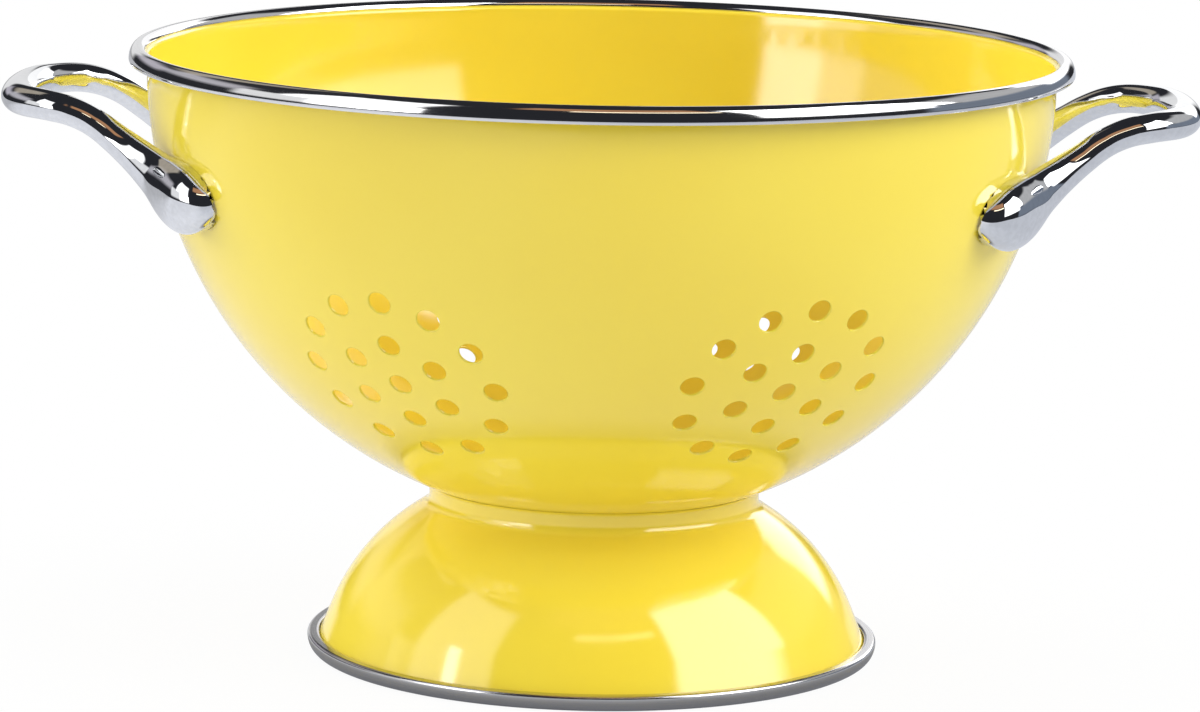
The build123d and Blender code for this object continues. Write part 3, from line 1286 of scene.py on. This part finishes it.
        def lifted(turns: np.ndarray) -> np.ndarray:
            """Return how far the seat lies beyond the skin on each ray."""
            way = self.ways(ring, turns, climb)
            return self.seat_reach(ring, way) - self.skin_reach(ring, way)

        # The ray nearest to each change between skin and seat turns onto the edge itself.
        free = lifted(turn) > 0
        change = free != np.roll(free, -1, axis=1)
        low, high = turn.copy(), turn + 2 * math.pi / self.columns
        for _ in range(self.edge_halvings):
            half = (low + high) / 2
            same = (lifted(half) > 0) == free
            low, high = np.where(same, half, low), np.where(same, high, half)
        near = change & (low - turn < math.pi / self.columns)
        far = np.roll(change & ~near, 1, axis=1)
        corner = near | far
        turn = np.where(near, low, np.where(far, np.roll(low, 1, axis=1), turn))
        turn[:, 0] = np.where(far[:, 0], turn[:, 0] - 2 * math.pi, turn[:, 0])
        way = self.ways(ring, turn, climb)
        skin, seat = self.skin_reach(ring, way), self.seat_reach(ring, way)
        # The directions come from neighbouring points of the skin, as if there were no seat.
        middle = self.rings[ring]
        full = middle + way * skin[..., None]
        points = middle + way * np.minimum(skin, seat)[..., None]
        beside = np.roll(full, -1, axis=1) - np.roll(full, 1, axis=1)
        mirrored = full[1] * (1.0, -1.0, 1.0)
        forward = np.gradient(np.concatenate([mirrored[None], full]), axis=0)[1:]
        facing = np.cross(forward, beside)
        facing *= np.sign((facing * way).sum(-1, keepdims=True))
        facing /= np.maximum(np.linalg.norm(facing, axis=-1, keepdims=True), self.least_length)
        facing[-1] = facing[-2].mean(0)
        return points, facing, (seat <= skin) | corner

    def build(self) -> bpy.types.Object:
        """Make the handle's mesh.

        Returns:
            The handle as one object.
        """
        points, facings, seated = self.leg()
        maker = MeshMaker()
        rows: dict[tuple[int, int], list[int]] = {}
        for leg in (1, -1):
            flip = np.array((self.side, leg, 1.0))
            for row in range(len(points)):
                if row == 0 and leg == -1:
                    rows[leg, 0] = rows[1, 0]
                elif row == len(points) - 1:
                    rows[leg, row] = [maker.point(Vector(points[row, 0] * flip))] * self.columns
                else:
                    rows[leg, row] = [maker.point(Vector(place)) for place in points[row] * flip]
            for row in range(len(points) - 1):
                for here in range(self.columns):
                    there = (here + 1) % self.columns
                    spots = [(row, here), (row, there), (row + 1, there), (row + 1, here)]
                    corners = [rows[leg, spot[0]][spot[1]] for spot in spots]
                    if all(seated[spot] for spot in spots):
                        ways = [(self.middle - points[spot]) * flip for spot in spots]
                    else:
                        ways = [facings[spot] * flip for spot in spots]
                    if corners[2] == corners[3]:
                        corners, ways = corners[:3], ways[:3]
                    maker.face(corners, [Vector(way).normalized() for way in ways])
        return maker.build(self.name)


@dataclass(frozen=True)
class Panel:
    """A soft panel of light far from the colander, by its edges in degrees.

    Azimuths run from the front towards the right, and heights from the horizon up. Each
    edge fades over the panel's softness.
    """

    left: float
    right: float
    low: float
    high: float
    strength: float
    tint: Triple = (1.0, 1.0, 1.0)
    soft: float = 5.0

    def light(self, tree: ShaderTree, azimuth: Socket, rise: Socket) -> Socket:
        """Return the panel's light in a direction.

        Args:
            tree: the world's tree.
            azimuth: the direction's azimuth, in degrees.
            rise: its height over the horizon, in degrees.

        Returns:
            The light as a colour.
        """
        half = self.soft / 2
        mask = azimuth.step(self.left - half, self.left + half)
        mask = mask * azimuth.step(self.right + half, self.right - half)
        mask = mask * rise.step(self.low - half, self.low + half)
        mask = mask * rise.step(self.high + half, self.high - half)
        return tree.scaled(self.tint, mask * self.strength)


@dataclass(frozen=True)
class Studio:
    """The pale floor, the soft light round the colander and the camera.

    The floor glows with painted light that the coat and the metal mirror: paler to the left and near the
    foot, with painted shade to the back left and a painted shadow close round the foot. A fade holds
    the two distances in metres between which such a change runs.
    """

    camera_place: Triple = (0.0, -1.468979, 0.337382)
    camera_aim: Triple = (0.000921, 0.0, 0.082525)
    camera_roll: float = 0.0189
    camera_turn: float = 0.65
    lens: float = 160.82
    sensor: float = 36.0
    floor_left: float = -1.5
    floor_right: float = 1.5
    floor_front: float = -1.15
    floor_back: float = 3.0
    floor_tone: Triple = (0.73, 0.735, 0.75)
    floor_white: float = 0.94
    white_fade: Pair = (0.1, 0.25)
    # Painted light: mirror rays see the floor glow in a painted colour, paler to the left and brighter
    # near the foot.
    painted_glow_share: float = 0.8
    painted_sheen_right: Triple = (0.54, 0.57, 0.64)
    painted_sheen_left: Triple = (0.80, 0.82, 0.88)
    painted_sheen_fade: Pair = (-0.05, 0.25)
    painted_near_light_share: float = 0.2
    painted_near_light_fade: Pair = (0.45, 0.12)
    # Painted shade: the floor's mirrored glow is darker to the back left.
    painted_back_shade_share: float = 0.5
    painted_back_shade_fade: Pair = (0.1, 0.4)
    # Painted shadow: the floor's mirrored glow darkens close round the foot.
    painted_foot_shadow_share: float = 0.7
    painted_foot_shadow_fade: Pair = (0.098, 0.079)
    panels: tuple[Panel, ...] = (
        Panel(40.0, 97.0, 18.0, 57.0, 4.5, soft=4.0),
        Panel(39.5, 88.0, 10.0, 18.0, 2.4, soft=3.0),
        Panel(98.0, 141.0, 15.0, 40.0, 0.5, soft=6.0),
        Panel(85.0, 155.0, -5.0, 15.0, 0.22, (0.8, 0.95, 1.2), soft=5.0),
        Panel(141.0, 168.0, 8.0, 28.0, 3.0, soft=6.0),
        Panel(168.0, 190.0, -2.0, 27.0, 1.1, soft=6.0),
        Panel(-190.0, -158.0, -2.0, 13.0, 0.8, soft=6.0),
        Panel(-158.0, -135.0, 7.0, 20.0, 0.5, (1.0, 0.95, 1.06), soft=8.0),
        Panel(-135.0, -98.0, 12.0, 28.0, 0.5, (1.0, 0.97, 1.04), soft=10.0),
        Panel(-156.0, -130.0, 26.0, 50.0, 0.4, (1.0, 0.88, 0.7), soft=8.0),
        Panel(-98.0, -73.0, 0.0, 20.0, 0.9, soft=5.0),
        Panel(-73.0, -60.0, -1.0, 19.0, 2.7, soft=5.0),
        Panel(-60.0, -43.0, -1.0, 19.0, 5.0, soft=3.0),
        Panel(-85.0, -45.0, 19.0, 52.0, 1.6, soft=4.0),
        Panel(-67.5, -61.0, 20.5, 27.5, 6.0, soft=1.5),
        Panel(-26.0, 34.0, 50.0, 66.0, 0.8, (0.62, 0.30, 0.13), soft=5.0),
        Panel(-8.0, 35.0, 43.5, 47.0, 2.6, (1.0, 0.84, 0.58), soft=1.5),
    )
    fills: tuple[Panel, ...] = (
        Panel(-190.0, 190.0, 52.0, 120.0, 0.56, soft=10.0),
        Panel(-160.0, -95.0, 5.0, 60.0, 2.6, soft=12.0),
        Panel(70.0, 160.0, 12.0, 60.0, 0.4, soft=12.0),
    )
    dark: Triple = (0.024, 0.025, 0.030)

    def build_world(self) -> None:
        """Paint the soft light by direction, and white for the camera."""
        world = bpy.data.worlds.new("studio_light")
        world.use_nodes = True
        bpy.context.scene.world = world
        tree = ShaderTree(world.node_tree)
        way = tree.add("ShaderNodeTexCoord", output="Generated")
        azimuth = way.dot(RIGHT).maths("ARCTAN2", way.dot(FRONT)) * math.degrees(1.0)
        rise = way.dot(UP).maths("ARCSINE", 0.0) * math.degrees(1.0)
        glow: object = self.dark
        for panel in self.panels:
            glow = tree.summed(glow, panel.light(tree, azimuth, rise))
        dull = 1.0 - tree.add("ShaderNodeLightPath", output="Is Glossy Ray")
        for fill in self.fills:
            glow = tree.summed(glow, tree.scaled(fill.light(tree, azimuth, rise), dull))
        seen = tree.add("ShaderNodeLightPath", output="Is Camera Ray")
        glow = tree.mix(seen, glow, WHITE)
        surface = tree.add("ShaderNodeBackground", {}, {"Color": glow, "Strength": 1.0})
        tree.add("ShaderNodeOutputWorld", {}, {"Surface": surface})

    def build_floor(self) -> bpy.types.Object:
        """Make the plain pale floor, which keeps the colander's shadow.

        Returns:
            The floor.
        """
        mesh = bpy.data.meshes.new("pale_floor")
        corners = [(self.floor_left, self.floor_front, 0.0), (self.floor_right, self.floor_front, 0.0),
                   (self.floor_right, self.floor_back, 0.0), (self.floor_left, self.floor_back, 0.0)]
        mesh.from_pydata(corners, [], [(0, 1, 2, 3)])
        floor = bpy.data.objects.new("pale_floor", mesh)
        bpy.context.scene.collection.objects.link(floor)
        material = bpy.data.materials.new("pale_floor_finish")
        material.use_nodes = True
        tree = ShaderTree(material.node_tree)
        matt = tree.add("ShaderNodeBsdfDiffuse", {}, {"Color": (*self.floor_tone, 1.0)})
        seen = tree.add("ShaderNodeLightPath", output="Is Camera Ray")
        mirrored = tree.add("ShaderNodeLightPath", output="Is Glossy Ray")
        place = tree.place()
        spread = tree.vector("LENGTH", {0: place}, "Value")
        leftward = place.dot(LEFT)
        # Painted shade: a darker stretch of the mirrored glow to the back left.
        painted_back_shade = place.dot(BACK).step(*self.painted_back_shade_fade) * leftward.step(*self.painted_back_shade_fade)
        # Painted light: the floor's mirrored glow is painted by place, paler to the left and brighter near
        # the foot.
        painted_floor_glow = tree.mix(leftward.step(*self.painted_sheen_fade), self.painted_sheen_right, self.painted_sheen_left)
        painted_near_light = 1.0 + spread.step(*self.painted_near_light_fade, self.painted_near_light_share)
        painted_floor_glow = tree.scaled(painted_floor_glow, painted_near_light * (1.0 - painted_back_shade * self.painted_back_shade_share))
        # Painted shadow: a dark ring in the mirrored glow under the foot trim, standing in for its contact
        # shadow.
        painted_floor_glow = tree.scaled(painted_floor_glow, 1.0 - spread.step(*self.painted_foot_shadow_fade, self.painted_foot_shadow_share))
        tone = tree.mix(seen, painted_floor_glow, WHITE)
        glow = tree.add("ShaderNodeEmission", {}, {"Color": tone, "Strength": 1.0})
        white = self.floor_white + spread.step(*self.white_fade, 1.0 - self.floor_white)
        # Camera rays see white, and mirror rays see mostly the painted glow.
        share = seen * white + mirrored * self.painted_glow_share
        surface = tree.add("ShaderNodeMixShader", {}, {0: share, 1: matt, 2: glow})
        tree.add("ShaderNodeOutputMaterial", {}, {"Surface": surface})
        mesh.materials.append(material)
        floor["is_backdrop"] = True
        return floor

    def build_camera(self) -> bpy.types.Object:
        """Make the camera at the photograph's viewing angle.

        Returns:
            The camera.
        """
        spin = Matrix.Rotation(math.radians(self.camera_turn), 4, "Z")
        place, aim = Vector(self.camera_place), Vector(self.camera_aim)
        ahead = (aim - place).normalized()
        level = ahead.cross(Vector(UP)).normalized()
        over = level.cross(ahead)
        side = level * math.cos(self.camera_roll) + over * math.sin(self.camera_roll)
        top = side.cross(ahead)
        turn = Matrix((side, top, -ahead)).transposed().to_4x4()
        data = bpy.data.cameras.new("front_camera")
        data.sensor_fit = "HORIZONTAL"
        data.sensor_width = self.sensor
        data.lens = self.lens
        camera = bpy.data.objects.new("front_camera", data)
        camera.matrix_world = spin @ Matrix.Translation(place) @ turn
        bpy.context.scene.collection.objects.link(camera)
        bpy.context.scene.camera = camera
        return camera


@dataclass
class Colander:
    """The whole colander: its own meshes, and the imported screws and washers."""

    rim_tube: float = 4.9 * MM
    foot_tube: float = 4.54 * MM
    gap: float = 0.05 * MM
    lip_reach: float = 0.9 * MM
    foot_land: float = 0.15 * MM
    rim_slot: Pair = (163.6, 196.4)
    foot_slot: Pair = (110.0, 170.0)

    def build(self) -> None:
        """Build and dress each piece, in order."""
        rim_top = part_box("bowl_rim_band")[1]
        foot_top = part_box("foot_rim_band")[1]
        rim_height = rim_top.z - self.rim_tube / 2
        bowl_radius = rim_top.x - self.rim_tube - self.gap
        bowl = Bowl(bowl_radius, rim_height, rim_top.x - self.rim_tube / 2 + self.lip_reach)
        coat = CoatFinish(bowl_middle=bowl.centre.z, inner_radius=bowl_radius - bowl.wall / 2).material()
        dress(bowl.build(), coat, Slot.COAT, "bowl")
        foot = Foot(bowl_radius + self.gap, bowl.centre.z, foot_top.x - self.foot_tube / 2)
        dress(foot.build(), coat, Slot.COAT, "foot")
        rim_band = TrimBand("bowl_rim_trim", rim_top.x, rim_height, self.rim_tube,
                            self.rim_slot, corner_up=False)
        polished = MetalFinish(Slot.RIM, (0.80, 0.80, 0.81), gloss=0.045, streak_gloss=0.06,
                               streak_height=0.0002 * MM, wave_size=30 * MM, wave_height=0.01 * MM)
        dress(rim_band.build(), polished.material(), Slot.RIM, "bowl_rim_band")
        foot_band = TrimBand("foot_rim_trim", foot_top.x, self.foot_tube / 2 - self.foot_land,
                             self.foot_tube, self.foot_slot, corner_up=True)
        satin = MetalFinish(Slot.FOOT_TRIM, (0.58, 0.575, 0.58), gloss=0.13, streak_gloss=0.12,
                            streak_height=0.0008 * MM, wave_size=20 * MM, wave_height=0.02 * MM)
        dress(foot_band.build(), satin.material(), Slot.FOOT_TRIM, "foot_rim_band")
        self.build_handles(bowl)
        self.dress_fasteners()

    def build_handles(self, bowl: Bowl) -> None:
        """Build and dress both castings.

        Args:
            bowl: the bowl on which their pads lie.
        """
        chrome = MetalFinish(Slot.CHROME, (0.80, 0.81, 0.83), gloss=0.02, streak_gloss=0.02,
                             streak_height=0.0, wave_size=4.5 * MM, wave_height=0.0015 * MM,
                             round_streaks=False, streak_size=1.5 * MM).material()
        grip_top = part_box("right_handle")[1]
        for side, word in ((1, "right"), (-1, "left")):
            handle = CastHandle(f"{word}_handle_cast", side, bowl.centre, bowl.radius + 2 * self.gap,
                                grip_top.x, grip_top.z - CastHandle.grip_thickness / 2)
            dress(handle.build(), chrome, Slot.CHROME, f"{word}_handle")

    def dress_fasteners(self) -> None:
        """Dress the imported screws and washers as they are."""
        steel = MetalFinish(Slot.STEEL, (0.62, 0.62, 0.63), gloss=0.22, streak_gloss=0.1,
                            streak_height=0.0005 * MM, wave_size=5 * MM, wave_height=0.01 * MM,
                            round_streaks=False, streak_size=0.3 * MM).material()
        for name, node in sorted(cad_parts.items()):
            if name.endswith(("_screw", "_washer")):
                dress(node, steel, Slot.STEEL)


def main() -> None:
    """Build the studio and the colander, and work out both boxes."""
    logging.basicConfig(level=logging.INFO, format="%(message)s")
    bpy.context.scene.view_settings.view_transform = "Standard"
    studio = Studio()
    studio.build_camera()
    studio.build_world()
    studio.build_floor()
    Colander().build()
    boxes = {"packed": packed_box, "visual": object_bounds()}
    {name: [list(corner) for corner in box] for name, box in boxes.items()}


if __name__ == "__main__":
    main()
